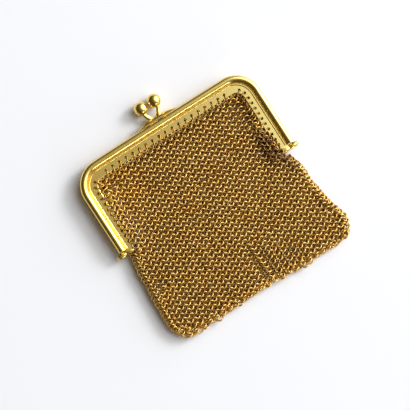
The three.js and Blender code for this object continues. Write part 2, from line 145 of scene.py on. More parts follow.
def strip_section():
    """The pressed section of one half: bead, groove, ridge and flange, and back along the underside."""
    radius = bead_width / 2
    spring = bead_height - radius
    ridge_middle = bead_width + groove_width + ridge_width / 2
    under = flange_level - sheet_thickness
    roll = sheet_thickness / 2
    turns = [math.pi * i / 10 for i in range(11)]
    lip = [
        (flange_reach - roll + roll * math.sin(turn), flange_level - roll + roll * math.cos(turn))
        for turn in turns
    ]
    lining = half_arc(radius, spring, radius - sheet_thickness, radius - sheet_thickness, 12)[::-1]
    return [
        (0.02 * mm, 0.0),
        (0.0, 0.1 * mm),
        *half_arc(radius, spring, radius, radius, 26),
        (bead_width, flange_level + 0.06 * mm),
        (bead_width + groove_width / 2, flange_level),
        *half_arc(ridge_middle, flange_level, ridge_width / 2, ridge_height, 10),
        (ridge_middle + ridge_width / 2 + 0.12 * mm, flange_level),
        (ridge_middle + ridge_width / 2 + 0.2 * mm, flange_level),
        (flange_reach - roll - 0.08 * mm, flange_level),
        *lip,
        (bead_width - sheet_thickness, under),
        *lining,
        (sheet_thickness, 0.0),
    ]


def sweep_strip(name, section, stations, half):
    """A closed solid with the section at each station, standing up from the level where the halves meet."""
    vertices = []
    for (x, y), (dx, dy) in stations:
        for inward, height in section:
            level = meeting_level + half * (half_gap / 2 + height)
            vertices.append((x + dy * inward, y - dx * inward, level))
    around = len(section)
    faces = []
    for row in range(len(stations) - 1):
        for i in range(around):
            a, b = row * around + i, row * around + (i + 1) % around
            faces.append((a, b, b + around, a + around))
    faces.append(tuple(range(around - 1, -1, -1)))
    faces.append(tuple(range((len(stations) - 1) * around, len(stations) * around)))
    if half == FRONT:
        faces = [face[::-1] for face in faces]
    return add_object(name, vertices, faces)


def on_inset(inset, distance, side):
    """A place on the inset outline, at a distance along it from the bar's middle, and the way inwards."""
    bar_length = bar_angle * (bar_radius - inset)
    corner_length = (math.pi / 2 - bar_angle) * (corner_radius - inset)
    if distance <= bar_length:
        (x, y), (dx, dy) = on_arc(0, -bar_radius, bar_radius - inset, distance / (bar_radius - inset))
    elif distance <= bar_length + corner_length:
        angle = bar_angle + (distance - bar_length) / (corner_radius - inset)
        (x, y), (dx, dy) = on_arc(corner_x, corner_y, corner_radius - inset, angle)
    else:
        down = distance - bar_length - corner_length
        (x, y), (dx, dy) = on_arc(0, corner_y - down, half_width - inset, math.pi / 2)
    return Vector((bar_middle + side * (x - bar_middle), y)), Vector((side * dy, -dx))


def hole_places():
    """Middles of the punched holes of one half, with the way inwards at each."""
    inset = flange_reach - hole_to_edge
    bar_length = bar_angle * (bar_radius - inset)
    corner_length = (math.pi / 2 - bar_angle) * (corner_radius - inset)
    end = bar_length + corner_length + arm_length + corner_y - hole_to_arm_end
    along_bar = np.arange(bar_hole_pitch, bar_length, bar_hole_pitch)
    along_arm = np.arange(bar_length + corner_length / 2, end, arm_hole_pitch)
    distances = [*along_bar, *along_arm]
    places = [on_inset(inset, 0, 1)]
    for side in (-1, 1):
        places += [on_inset(inset, d, side) for d in distances]
    return places


def new_tree(name, inputs):
    """An empty Geometry Nodes tree with a geometry input, named inputs and a geometry output."""
    tree = bpy.data.node_groups.new(name, "GeometryNodeTree")
    tree.interface.new_socket("Geometry", in_out="INPUT", socket_type="NodeSocketGeometry")
    for label, kind in inputs.items():
        tree.interface.new_socket(label, in_out="INPUT", socket_type=kind)
    tree.interface.new_socket("Geometry", in_out="OUTPUT", socket_type="NodeSocketGeometry")
    return tree


def run_tree(made, tree, values):
    """Runs a tree on an object with these input values and keeps the result as a plain mesh."""
    modifier = made.modifiers.new(tree.name, "NODES")
    modifier.node_group = tree
    identifiers = {s.name: s.identifier for s in tree.interface.items_tree if s.in_out == "INPUT"}
    for label, value in values.items():
        modifier[identifiers[label]] = value
    made.update_tag()
    evaluated = made.evaluated_get(bpy.context.evaluated_depsgraph_get())
    plain = bpy.data.meshes.new_from_object(evaluated)
    made.modifiers.remove(modifier)
    old = made.data
    made.data = plain
    bpy.data.meshes.remove(old)
    plain.name = made.name


def smooth_to(made, degrees):
    """Smooth shading that keeps edges sharper than an angle crisp."""
    made.data.shade_smooth()
    made.data.set_sharp_from_angle(angle=math.radians(degrees))


# Fire-gilt brass, pressed and burnished: warm yellow and near mirror, with fine handling scratches that blur
# its reflections a little, and a slightly browner film in patches.
film_patch = 6 * mm
scratch_width = 0.5 * mm
scratch_depth = 0.02 * mm


def gilt_brass():
    made = bpy.data.materials.new("fire_gilt_brass_burnished")
    made.use_nodes = True
    tree = made.node_tree
    shader = tree.nodes["Principled BSDF"]
    place = add_node(tree, "ShaderNodeTexCoord").outputs["Object"]
    film = add_node(tree, "ShaderNodeTexNoise", inputs={
        "Vector": place, "Scale": 1 / film_patch, "Detail": 4.0,
    })
    grain = add_node(tree, "ShaderNodeTexNoise", inputs={
        "Vector": place, "Scale": 1 / scratch_width, "Detail": 3.0,
    })
    tone = add_node(tree, "ShaderNodeMix", {"data_type": "RGBA"}, {0: film.outputs[0]})
    tone.inputs[6].default_value = linear("#F6D97C")
    tone.inputs[7].default_value = linear("#EFCB6A")
    tree.links.new(tone.outputs[2], shader.inputs["Base Color"])
    polish = add_node(tree, "ShaderNodeMapRange", inputs={"Value": grain.outputs[0], 3: 0.15, 4: 0.21})
    tree.links.new(polish.outputs[0], shader.inputs["Roughness"])
    bump = add_node(tree, "ShaderNodeBump", inputs={
        "Height": grain.outputs[0], "Strength": 0.02, "Distance": scratch_depth,
    })
    tree.links.new(bump.outputs[0], shader.inputs["Normal"])
    shader.inputs["Metallic"].default_value = 1.0
    return made


gilt = gilt_brass()


def punch_tree():
    """Cuts a cylinder out of the strip at each point of another object."""
    tree = new_tree("punched_holes", {
        "Places": "NodeSocketObject",
        "Hole Diameter": "NodeSocketFloat",
        "Punch Depth": "NodeSocketFloat",
        "Metal": "NodeSocketMaterial",
    })
    given = add_node(tree, "NodeGroupInput")
    radius = add_node(tree, "ShaderNodeMath", {"operation": "MULTIPLY"}, {
        0: given.outputs["Hole Diameter"], 1: 0.5,
    })
    places = add_node(tree, "GeometryNodeObjectInfo", inputs={"Object": given.outputs["Places"]})
    punch = add_node(tree, "GeometryNodeMeshCylinder", inputs={
        "Vertices": 20, "Radius": radius.outputs[0], "Depth": given.outputs["Punch Depth"],
    })
    spread = add_node(tree, "GeometryNodeInstanceOnPoints", inputs={
        "Points": places.outputs["Geometry"], "Instance": punch.outputs["Mesh"],
    })
    punches = add_node(tree, "GeometryNodeRealizeInstances", inputs={"Geometry": spread.outputs[0]})
    cut = add_node(tree, "GeometryNodeMeshBoolean", {"operation": "DIFFERENCE", "solver": "MANIFOLD"})
    tree.links.new(given.outputs["Geometry"], cut.inputs["Mesh 1"])
    tree.links.new(punches.outputs[0], cut.inputs["Mesh 2"])
    whole = add_node(tree, "GeometryNodeRealizeInstances", inputs={"Geometry": cut.outputs["Mesh"]})
    finish = add_node(tree, "GeometryNodeSetMaterial", inputs={
        "Geometry": whole.outputs[0], "Material": given.outputs["Metal"],
    })
    add_node(tree, "NodeGroupOutput", inputs={"Geometry": finish.outputs[0]})
    return tree


def half_frame(name, half):
    """The punched strip of one half, with its flat faces shaded flat."""
    strip = sweep_strip(name, strip_section(), outline_stations(), half)
    level = meeting_level + half * (half_gap / 2 + flange_level - sheet_thickness / 2)
    centres = [(place.x, place.y, level) for place, _ in hole_places()]
    markers = add_object(name + "_places", centres, [])
    run_tree(strip, punches, {
        "Places": markers, "Hole Diameter": hole_diameter, "Punch Depth": 4 * sheet_thickness, "Metal": gilt,
    })
    bpy.data.objects.remove(markers)
    smooth_to(strip, 32)
    flat_from = 0.9995
    for face in strip.data.polygons:
        face.use_smooth = abs(face.normal.z) < flat_from
    return strip


punches = punch_tree()
for name, half, node in (("front_half_frame", FRONT, "frame_front"), ("back_half_frame", BACK, "frame_back")):
    strip = half_frame(name, half)
    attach(strip, "root")
    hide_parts(node)

# The ball clasp
# On each half a long tapered leaf of brass is soldered along the bar. A flat stem rises from it and bends
# sideways to a solid ball, so that the two balls snap past each other.
ball_spacing = 4.75 * mm
stem_width = 1.45 * mm
stem_depth = 0.9 * mm
foot_length = 14.4 * mm
foot_height = 1.3 * mm
foot_depth = 1.4 * mm
stem_root = foot_height / 3
stem_squareness = 0.75
stem_bends = [
    {"outward": 0.40, "rise": -0.05, "level": 0.0, "width": 1.60},
    {"outward": 0.62, "rise": 0.22, "level": 0.3, "width": 1.10},
    {"outward": 0.92, "rise": 0.45, "level": 0.7, "width": 0.92},
    {"outward": 1.06, "rise": 0.66, "level": 1.0, "width": 0.80},
    {"outward": 1.00, "rise": 1.00, "level": 1.0, "width": 0.75},
]


def through(points, share):
    """A place on the smooth curve through evenly numbered points."""
    at = share * (len(points) - 1)
    i = min(int(at), len(points) - 2)
    t = at - i
    before, start, end, after = (points[max(0, min(len(points) - 1, i + k))] for k in (-1, 0, 1, 2))
    return 0.5 * (
        2 * start + (end - before) * t + (2 * before - 5 * start + 4 * end - after) * t ** 2
        + (3 * start - before - 3 * end + after) * t ** 3
    )


def loft_faces(rows, around):
    """Faces between rows of points that each run round a piece, and one over each end."""
    faces = [tuple(range(around)), tuple(range(rows * around - 1, (rows - 1) * around - 1, -1))]
    for row in range(rows - 1):
        for k in range(around):
            a, b = row * around + k, row * around + (k + 1) % around
            faces.append((a, a + around, b + around, b))
    return faces


def clasp_stem(name, half, steps=20, sides=14):
    """The bent strip from the foot to the ball, widest at its foot."""
    foot_level = meeting_level + half * (half_gap / 2 + foot_depth / 2)
    route = [
        np.array((
            bar_middle + half * ball_spacing / 2 * bend["outward"],
            bar_top + stem_root + (ball_rise - stem_root) * bend["rise"],
            foot_level + (meeting_level - foot_level) * bend["level"],
            stem_width * bend["width"],
        ))
        for bend in stem_bends
    ]
    points = [through(route, i / steps) for i in range(steps + 1)]
    vertices = []
    for i, point in enumerate(points):
        ahead = points[min(i + 1, steps)][:3] - points[max(i - 1, 0)][:3]
        ahead = ahead / np.linalg.norm(ahead)
        sideways = np.cross(ahead, (0, 0, 1))
        sideways = sideways / np.linalg.norm(sideways)
        upwards = np.cross(sideways, ahead)
        for k in range(sides):
            angle = 2 * math.pi * k / sides
            bulge = abs(math.cos(angle)) ** stem_squareness * math.copysign(1, math.cos(angle))
            vertices.append(
                point[:3] + sideways * bulge * point[3] / 2 + upwards * math.sin(angle) * stem_depth / 2
            )
    return add_object(name, vertices, loft_faces(steps + 1, sides))


def clasp_foot(name, half, steps=36):
    """The tapered leaf, rounded over its upper edge."""
    low = meeting_level + half * half_gap / 2
    high = low + half * foot_depth
    rows = []
    for i in range(steps + 1):
        x = foot_length * (i / steps - 0.5)
        top_of_bar = math.sqrt(bar_radius ** 2 - x ** 2) - bar_radius
        rise = foot_height * (1 - abs(2 * x / foot_length) ** 3) + 0.02 * mm
        ring = [(-sheet_thickness / 2, low)]
        for k in range(9):
            angle = math.pi / 2 * k / 8
            ring.append((rise * math.cos(angle), low + (high - low) * math.sin(angle)))
        ring.append((-sheet_thickness / 2, high))
        rows.append([(bar_middle + x, bar_top + top_of_bar + y, z) for y, z in ring])
    vertices = [point for row in rows for point in row]
    faces = loft_faces(len(rows), len(rows[0]))
    if half == BACK:
        faces = [face[::-1] for face in faces]
    return add_object(name, vertices, faces)


def ball(name, centre, radius, rows=20, sides=32):
    """A turned ball with one point at its lowest and one at its highest place."""
    vertices = [(centre[0], centre[1], centre[2] - radius)]
    for row in range(1, rows):
        tilt = math.pi * row / rows
        for k in range(sides):
            turn = 2 * math.pi * k / sides
            vertices.append((
                centre[0] + radius * math.sin(tilt) * math.cos(turn),
                centre[1] + radius * math.sin(tilt) * math.sin(turn),
                centre[2] - radius * math.cos(tilt),
            ))
    vertices.append((centre[0], centre[1], centre[2] + radius))
    top = len(vertices) - 1
    last = 1 + (rows - 2) * sides
    faces = []
    for k in range(sides):
        follow = (k + 1) % sides
        faces.append((0, 1 + follow, 1 + k))
        faces.append((top, last + k, last + follow))
    for row in range(rows - 2):
        for k in range(sides):
            a, b = 1 + row * sides + k, 1 + row * sides + (k + 1) % sides
            faces.append((a, b, b + sides, a + sides))
    return add_object(name, vertices, faces)


def solder(whole, parts):
    """Joins overlapping solids into one."""
    for part in parts:
        union = whole.modifiers.new("union", "BOOLEAN")
        union.operation = "UNION"
        union.solver = "EXACT"
        union.object = part
        evaluated = whole.evaluated_get(bpy.context.evaluated_depsgraph_get())
        joined = bpy.data.meshes.new_from_object(evaluated)
        whole.modifiers.remove(union)
        old = whole.data
        whole.data = joined
        bpy.data.meshes.remove(old)
        bpy.data.objects.remove(part)
    return whole


for name, half, node in (("front_clasp", FRONT, "frame_front"), ("back_clasp", BACK, "frame_back")):
    centre = (bar_middle + half * ball_spacing / 2, bar_top + ball_rise, meeting_level)
    foot = clasp_foot(name, half)
    clasp = solder(foot, [clasp_stem(name + "_stem", half), ball(name + "_ball", centre, ball_diameter / 2)])
    clasp.data.materials.clear()
    clasp.data.materials.append(gilt)
    smooth_to(clasp, 40)
    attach(clasp, "root")
    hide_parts(node)

# The hinges
# At the end of each arm a small brass cap closes the bead, with a knuckle soldered to it, and a riveted pin
# runs through the knuckles of both halves. The heads of the pins show as dots beside the arms.
knuckle_length = 2.45 * mm
knuckle_overhang = 0.6 * mm
pin_diameter = 0.5 * mm
pin_head_diameter = 1.4 * mm
pin_head_height = 0.35 * mm
knuckle_rounding = 0.12 * mm
strap_clearance = 0.04 * mm
strap_inset = 0.1 * mm
cap_proud = 0.08 * mm


def turned(name, profile, start_x, direction, sides=28):
    """A solid turned about X through the hinge, from distances along it and radii."""
    vertices = []
    for along, radius in profile:
        for k in range(sides):
            angle = 2 * math.pi * k / sides
            vertices.append((
                start_x + direction * along,
                hinge_y + radius * math.cos(angle),
                meeting_level + radius * math.sin(angle),
            ))
    faces = loft_faces(len(profile), sides)
    if direction > 0:
        faces = [face[::-1] for face in faces]
    return add_object(name, vertices, faces)


def rounded_tube(length, diameter, soft):
    """Distances along a tube and its radii, with its ends rounded off."""
    radius = diameter / 2
    turns = (math.pi / 2, math.pi / 4, 0)
    start = [(soft - soft * math.sin(turn), radius - soft + soft * math.cos(turn)) for turn in turns]
    return start + [(length - along, r) for along, r in start[::-1]]


def hinge_strap(name, arm, half, start, end):
    """The short strap that ties a knuckle to the end of its arm."""
    outer = bar_middle + arm * (half_width - max(start, strap_inset))
    inner = bar_middle + arm * (half_width - end)
    near = meeting_level + half * half_gap / 2
    far = meeting_level + half * (knuckle_diameter / 2 - strap_clearance)
    low, high = hinge_y, bar_top - arm_length + sheet_thickness
    xs, zs = sorted((outer, inner)), sorted((near, far))
    corners = [(x, y, z) for x in xs for y in (low, high) for z in zs]
    faces = [(0, 1, 3, 2), (4, 6, 7, 5), (0, 4, 5, 1), (2, 3, 7, 6), (0, 2, 6, 4), (1, 5, 7, 3)]
    return add_object(name, corners, faces)


def arm_cap(name, arm, half):
    """The thin cap over the end of the bead."""
    radius = bead_width / 2
    spring = bead_height - radius
    proud = radius + cap_proud
    section = [(0.0, 0.0), *half_arc(radius, spring, proud, proud, 20), (bead_width, 0.0)]
    low = on_arc(0, -arm_length, half_width, arm * math.pi / 2)
    high = on_arc(0, -arm_length + sheet_thickness, half_width, arm * math.pi / 2)
    stations = [low, high] if arm < 0 else [high, low]
    return sweep_strip(name, section, stations, half)


for side, arm in (("left", -1), ("right", 1)):
    edge = bar_middle + arm * half_width
    for whose, half, node in (("back", BACK, "frame_back"), ("front", FRONT, "frame_front")):
        start = -knuckle_overhang + (knuckle_length + half_gap) * (half == FRONT)
        name = f"{whose}_knuckle_{side}"
        barrel = turned(
            name, rounded_tube(knuckle_length, knuckle_diameter, knuckle_rounding), edge - arm * start, -arm,
        )
        strap = hinge_strap(name + "_strap", arm, half, start, start + knuckle_length)
        knuckle = solder(barrel, [strap, arm_cap(name + "_cap", arm, half)])
        knuckle.data.materials.clear()
        knuckle.data.materials.append(gilt)
        smooth_to(knuckle, 35)
        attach(knuckle, "root")
        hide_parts(node)
    head = pin_head_diameter / 2
    shank = pin_diameter / 2
    outer = -knuckle_overhang - half_gap
    inner = outer + 2 * knuckle_length + 3 * half_gap
    dome = [(pin_head_height * math.cos(a), head * math.sin(a)) for a in np.linspace(0.15, math.pi / 2, 6)]
    profile = [(outer - along, r) for along, r in dome] + [(outer, shank)]
    profile += [(inner, shank)] + [(inner + along, r) for along, r in dome[::-1]]
    pin = turned(f"hinge_pin_{side}_riveted", profile, edge, -arm)
    pin.data.materials.append(gilt)
    smooth_to(pin, 40)
    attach(pin, "root")
    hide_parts(f"hinge_pin_{side}")

# The ring mesh
# The bag is a flat tube of small brass wire rings, each linked through four others, in columns that lean up
# and down by turns, so that every row shows as a wave. It is shut at its foot and hangs from the frame at its
# mouth.
ring_radius = 0.98 * mm
wire_radius = 0.225 * mm
back_wire_radius = 0.27 * mm
ring_lean = math.radians(33)
column_spacing = 1.2 * mm
row_spacing = 1.66 * mm
layer_thickness = 2 * (ring_radius * math.sin(ring_lean) + wire_radius)
bag_low, bag_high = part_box("mesh_bag")
foot_slant = 1.1 * mm
bag_depth = bar_top - bag_low.y - foot_slant
flange_clear = 0.25 * mm
mouth = flange_reach + flange_clear + ring_radius * math.cos(ring_lean)
mouth_corner = 2.2 * mm
mouth_taper = 0.6
bag_outline = [
    {"down": 0.50, "left": 0.925, "right": 0.915},
    {"down": 0.58, "left": 0.953, "right": 0.96},
    {"down": 0.66, "left": 0.958, "right": 0.96},
    {"down": 0.74, "left": 0.975, "right": 0.98},
    {"down": 0.82, "left": 0.982, "right": 1.01},
    {"down": 0.90, "left": 0.982, "right": 1.052},
    {"down": 1.00, "left": 0.96, "right": 1.045},
]
bag_levels = [
    {"down": 0.10, "front": 2.95, "back": 1.35},
    {"down": 0.20, "front": 3.05, "back": 0.80},
    {"down": 0.40, "front": 3.12, "back": 0.76},
    {"down": 0.60, "front": 3.05, "back": 0.76},
    {"down": 0.80, "front": 2.85, "back": 0.76},
    {"down": 0.93, "front": 2.60, "back": 0.76},
    {"down": 1.00, "front": 2.30, "back": 0.76},
]
bag_folds = [
    {"across": 0.000, "from": 0.74, "full": 0.88, "end": 1.12, "width": 0.012, "depth": 1.25},
    {"across": 0.1125, "from": 0.75, "full": 0.89, "end": 1.12, "width": 0.012, "depth": 1.20},
    {"across": 0.1875, "from": 0.78, "full": 0.92, "end": 1.12, "width": 0.011, "depth": 0.80},
    {"across": 0.2625, "from": 0.78, "full": 0.92, "end": 1.12, "width": 0.011, "depth": 0.75},
    {"across": 0.3375, "from": 0.78, "full": 0.92, "end": 1.12, "width": 0.011, "depth": 0.75},
    {"across": 0.4125, "from": 0.80, "full": 0.93, "end": 1.12, "width": 0.010, "depth": 0.45},
    {"across": -0.38, "from": 0.82, "full": 0.96, "end": 1.12, "width": 0.035, "depth": 0.30},
    {"across": 0.76, "from": 0.28, "full": 0.42, "end": 0.56, "width": 0.055, "depth": 0.50},
]
bag_corner = 5.5 * mm
flange_cover = 1.3 * mm
cover_sides = [
    {"side": "left", "from": 0.16, "full": 0.25},
    {"side": "right", "from": 0.27, "full": 0.43},
]
lift_onset_left = 0.15
lift_onset_right = 0.25
lift_run = 0.06
lift_start = 2.6 * mm
lift_end = 0.1 * mm
settle_above = 1.0 * mm
settle_below = 0.5 * mm
lifted_share = 0.6
lifted_level = meeting_level + half_gap / 2 + flange_level + wire_radius
lifted_level += lifted_share * ring_radius * math.sin(ring_lean)
hinge_foot = arm_length + half_gap + knuckle_diameter
hinge_clear = hinge_foot + ring_radius * math.cos(ring_lean) + wire_radius + 0.05 * mm
near_edge = 0.9 * half_width
slump_depth = 0.25 * mm
slump_from = 0.1
slump_full = 0.6
columns_lean = 1.6 * mm
columns_lean_from = 0.45
stretch_from = 0.75
last_row_over = 0.4 * row_spacing
edge_spacing = 1.3 * mm
foot_facing = 0.7
first_ring_under = 0.35 * mm
first_ring_end = 0.5 * mm
first_ring_level = 0.27 * mm
first_ring_lean = 0.2
place_scatter = 0.04 * mm
height_scatter = 0.03 * mm
edge_scatter = 0.1 * mm
foot_rag = 0.15 * mm
foot_scatter = 0.38 * mm
lean_scatter = math.radians(3.5)
turn_scatter = math.radians(3)
random = np.random.default_rng(11)


def table_value(rows, column, down):
    """One named column of a table, read between its rows."""
    return float(np.interp(down, [row["down"] for row in rows], [row[column] for row in rows]))


def ease(value, start, end):
    """From 0 at the start to 1 at the end, slow at both."""
    share = min(max((value - start) / (end - start), 0.0), 1.0)
    return share * share * (3 - 2 * share)


def outline_at(below):
    """Left and right edges of the bag, from the frame's middle, at a distance below the top of the bar."""
    down = below / bag_depth
    lower = max(below - bag_depth + bag_corner, 0.0)
    trim = bag_corner - math.sqrt(max(bag_corner ** 2 - lower ** 2, 0.0))
    left = table_value(bag_outline, "left", down) * half_width
    right = table_value(bag_outline, "right", down) * half_width
    return -left + trim, right - trim


def fold_depth(x, down):
    """How deep the folds and the dent are at a place."""
    depth = 0.0
    for fold in bag_folds:
        across = (x - fold["across"] * half_width) / (fold["width"] * frame_width)
        rise = min(ease(down, fold["from"], fold["full"]), 1 - ease(down, fold["full"], fold["end"]))
        depth += fold["depth"] * mm * math.exp(-across * across) * rise
    return depth


def layer_level(layer, x, below):
    """Height of the middle of the front or back layer of mesh."""
    down = below / bag_depth
    level = table_value(bag_levels, "front" if layer == FRONT else "back", down) * mm
    return level - (fold_depth(x, down) if layer == FRONT else 0.0)


def lift_at(layer, x, below):
    """How far, from 0 to 1, a front ring is raised and flattened to lie over the flange or the hinge."""
    if layer == BACK:
        return 0.0
    edge = half_width - flange_reach - ring_radius - wire_radius
    beside = ease(abs(x), edge - lift_start, edge - lift_end)
    onset = lift_onset_left if x < 0 else lift_onset_right
    past_corner = ease(below, onset * bag_depth, (onset + lift_run) * bag_depth)
    past_hinge = ease(below, hinge_foot - settle_above, hinge_foot + settle_below)
    return beside * past_corner * (1 - past_hinge)


def side_limits(layer, below, margin):
    """How far the outermost rings lie from the middle of the frame, to the left and to the right."""
    clear = hinge_clear if layer == FRONT else hinge_clear - half_gap - knuckle_diameter
    if below + row_sag(near_edge, below) > clear:
        left, right = outline_at(below)
        return -left - margin, right - margin
    held = half_width - flange_reach - flange_clear - ring_radius
    held -= max(0.0, mouth_corner - (below - mouth)) * mouth_taper
    if layer == BACK:
        return held, held
    return tuple(
        held + flange_cover * ease(below, side["from"] * bag_depth, side["full"] * bag_depth)
        for side in cover_sides
    )


def bow_at(x):
    """Height of the bowed bar against its middle."""
    return math.sqrt(bar_radius ** 2 - x ** 2) - bar_radius


def foot_drop(x, below):
    """How much lower the bag hangs on the right, most at its foot."""
    return foot_slant * ease(x, 0.0, half_width / 2) * (below / bag_depth) ** 2


def row_sag(x, below):
    """How far a row hangs below a straight line, from the bow of the bar and the way the mesh slumps."""
    down = below / bag_depth
    slump = slump_depth * math.sin(math.pi * (x / frame_width + 0.5))
    slump *= ease(down, slump_from, slump_full)
    return slump - bow_at(x) * max(1 - down, 0.0) + foot_drop(x, below)


def ring_frame(across, outward, lean):
    """Turns a ring to lean about the direction across its column, on a surface that faces outward."""
    across = Vector(across).normalized()
    outward = Vector(outward).normalized()
    down = outward.cross(across).normalized()
    tilt = ring_lean * lean + random.normal(0, lean_scatter)
    normal = outward * math.cos(tilt) + down * math.sin(tilt)
    along = normal.cross(across)
    turn = Matrix((across, along, normal)).transposed()
    return (turn @ Matrix.Rotation(random.normal(0, turn_scatter), 3, "Y")).to_euler()


def lay_ring(layer, x, upright_x, below, way):
    """One ring of a layer: its place, its turn and its tone. upright_x is where its column starts."""
    lift = lift_at(layer, x, below)
    level = layer_level(layer, upright_x, below)
    place = Vector((
        bar_middle + x + random.normal(0, place_scatter),
        bar_top - below - row_sag(x, below) + random.normal(0, place_scatter),
        level + (lifted_level - level) * lift + random.normal(0, height_scatter),
    ))
    beside = [layer_level(layer, upright_x + step, below) for step in (-0.5 * mm, 0.5 * mm)]
    slope = (beside[1] - beside[0]) / mm
    lean = way * (1 - (1 - lifted_share) * lift)
    outward = (-slope * layer, 0.0, layer)
    return place, ring_frame((1, 0, slope), outward, lean), random.random()


def lay_row(layer, below, offset, margin):
    """Every second ring of a row, from the middle to the left edge and then to the right one."""
    rings = []
    lean_over = columns_lean * ease(below / bag_depth, columns_lean_from, 1.0)
    for side, limit in zip((-1, 1), side_limits(layer, below, margin)):
        reach = limit - side * lean_over
        count = 2 * round(reach / column_spacing / 2)
        for i in range(0 if side > 0 else 1, count + 1):
            if i % 2 != offset:
                continue
            share = max(i / count - stretch_from, 0.0) / (1 - stretch_from)
            stretch = (reach - count * column_spacing) * share ** 2
            x = side * (i * column_spacing + stretch) + lean_over
            rings.append(lay_ring(layer, x, x - lean_over, below, -1 if i % 2 else 1))
    return rings


def lay_layer(layer):
    """Rings of the front or back layer."""
    rings = []
    rows = int((bag_depth - mouth) / row_spacing)
    for row in range(rows + 1):
        for offset in (0, 1):
            below = mouth + (row + offset / 2 + 0.5 * (layer == BACK)) * row_spacing
            apart = layer_level(FRONT, 0, below) - layer_level(BACK, 0, below)
            margin = layer_thickness / 2 + apart / 2
            if below <= bag_depth - margin + last_row_over:
                rings += lay_row(layer, below, offset, margin)
    return rings


def edge_points(side_steps=60, corner_steps=14, foot_steps=40):
    """Places along the free edge of the bag, from the left hinge round the foot to the right one."""
    start = hinge_clear - row_sag(near_edge, hinge_clear)
    corner_start = bag_depth - bag_corner
    turns = np.linspace(0, math.pi / 2, corner_steps)[1:]
    corner = [corner_start + bag_corner * math.sin(turn) for turn in turns]
    depths = [*np.linspace(start, corner_start, side_steps), *corner]
    left_side = [(outline_at(below)[0], below) for below in depths]
    right_side = [(outline_at(below)[1], below) for below in depths]
    foot = [(x, bag_depth) for x in np.linspace(left_side[-1][0], right_side[-1][0], foot_steps)[1:-1]]
    return np.array(left_side + foot + right_side[::-1])


def lay_edge(angle_up, step=0.2 * mm):
    """Rings round the free edge, at an angle above or below the middle of the edge."""
    points = edge_points()
    steps = np.linalg.norm(np.diff(points, axis=0), axis=1)
    along = np.concatenate([[0], np.cumsum(steps)])
    rings = []
    count = round(along[-1] / edge_spacing)
    spacing = along[-1] / count
    for k in range(count + 1 if angle_up else count):
        at = (k + (0.0 if angle_up else 0.5)) * spacing
        x, below = (np.interp(at, along, points[:, axis]) for axis in (0, 1))
        ahead = [np.interp(at + step, along, points[:, axis]) for axis in (0, 1)]
        behind = [np.interp(at - step, along, points[:, axis]) for axis in (0, 1)]
        run = Vector((ahead[0] - behind[0], behind[1] - ahead[1], 0)).normalized()
        out = Vector((run.y, -run.x, 0))
        front, back = layer_level(FRONT, x, below), layer_level(BACK, x, below)
        rise = (front - back) / 2
        middle = (front + back) / 2
        outward = out * math.cos(angle_up) + Vector((0, 0, math.sin(angle_up)))
        inset = layer_thickness / 2 + rise * (1 - math.cos(angle_up))
        foot = abs(out.y) > foot_facing
        ragged = random.normal(foot_rag, foot_scatter) if foot else random.normal(0, edge_scatter)
        drop = foot_drop(x, below) if foot else row_sag(x, below)
        place = Vector((bar_middle + x, bar_top - below - drop, middle))
        place += -out * inset + out * ragged + Vector((0, 0, rise * math.sin(angle_up)))
        across = run if foot else run.cross(outward)
        lean = (1 if k % 2 else -1) if foot else (1 if angle_up else -1)
        rings.append((place, ring_frame(across, outward, lean), random.random()))
    return rings


def lay_between(half):
    """The first rings, lying flat between the two flanges where the hooks hold them."""
    rings = []
    inset = flange_reach - first_ring_under
    corner_length = (math.pi / 2 - bar_angle) * (corner_radius - inset)
    length = bar_angle * (bar_radius - inset) + corner_length + arm_length + corner_y - first_ring_end
    for side in (-1, 1):
        for k, distance in enumerate(np.arange(edge_spacing / 2, length, edge_spacing)):
            place, inward = on_inset(inset, distance, side)
            lean = first_ring_lean if k % 2 else -first_ring_lean
            turn = ring_frame((inward.y, -inward.x, 0), (0, 0, half), lean)
            level = meeting_level + half * first_ring_level
            rings.append((Vector((place.x, place.y, level)), turn, random.random()))
    return rings


def set_out(tree, given, shape):
    """Ends a tree: a copy of the shape at each point, turned as the point says, all made one mesh."""
    turn = add_node(tree, "GeometryNodeInputNamedAttribute", {"data_type": "FLOAT_VECTOR"}, {"Name": "turn"})
    spread = add_node(tree, "GeometryNodeInstanceOnPoints", inputs={
        "Points": given.outputs["Geometry"], "Instance": shape, "Rotation": turn.outputs["Attribute"],
    })
    smooth = add_node(tree, "GeometryNodeSetShadeSmooth", inputs={"Geometry": spread.outputs["Instances"]})
    whole = add_node(tree, "GeometryNodeRealizeInstances", inputs={"Geometry": smooth.outputs[0]})
    finish = add_node(tree, "GeometryNodeSetMaterial", inputs={
        "Geometry": whole.outputs[0], "Material": given.outputs["Metal"],
    })
    add_node(tree, "NodeGroupOutput", inputs={"Geometry": finish.outputs[0]})


def ring_tree():
    """Sets a wire ring at each point."""
    tree = new_tree("linked_rings", {
        "Ring Radius": "NodeSocketFloat",
        "Wire Radius": "NodeSocketFloat",
        "Ring Sides": "NodeSocketInt",
        "Wire Sides": "NodeSocketInt",
        "Metal": "NodeSocketMaterial",
    })
    given = add_node(tree, "NodeGroupInput")
    circle = add_node(tree, "GeometryNodeCurvePrimitiveCircle", inputs={
        "Resolution": given.outputs["Ring Sides"], "Radius": given.outputs["Ring Radius"],
    })
    wire = add_node(tree, "GeometryNodeCurvePrimitiveCircle", inputs={
        "Resolution": given.outputs["Wire Sides"], "Radius": given.outputs["Wire Radius"],
    })
    ring = add_node(tree, "GeometryNodeCurveToMesh", inputs={
        "Curve": circle.outputs["Curve"], "Profile Curve": wire.outputs["Curve"],
    })
    set_out(tree, given, ring.outputs["Mesh"])
    return tree


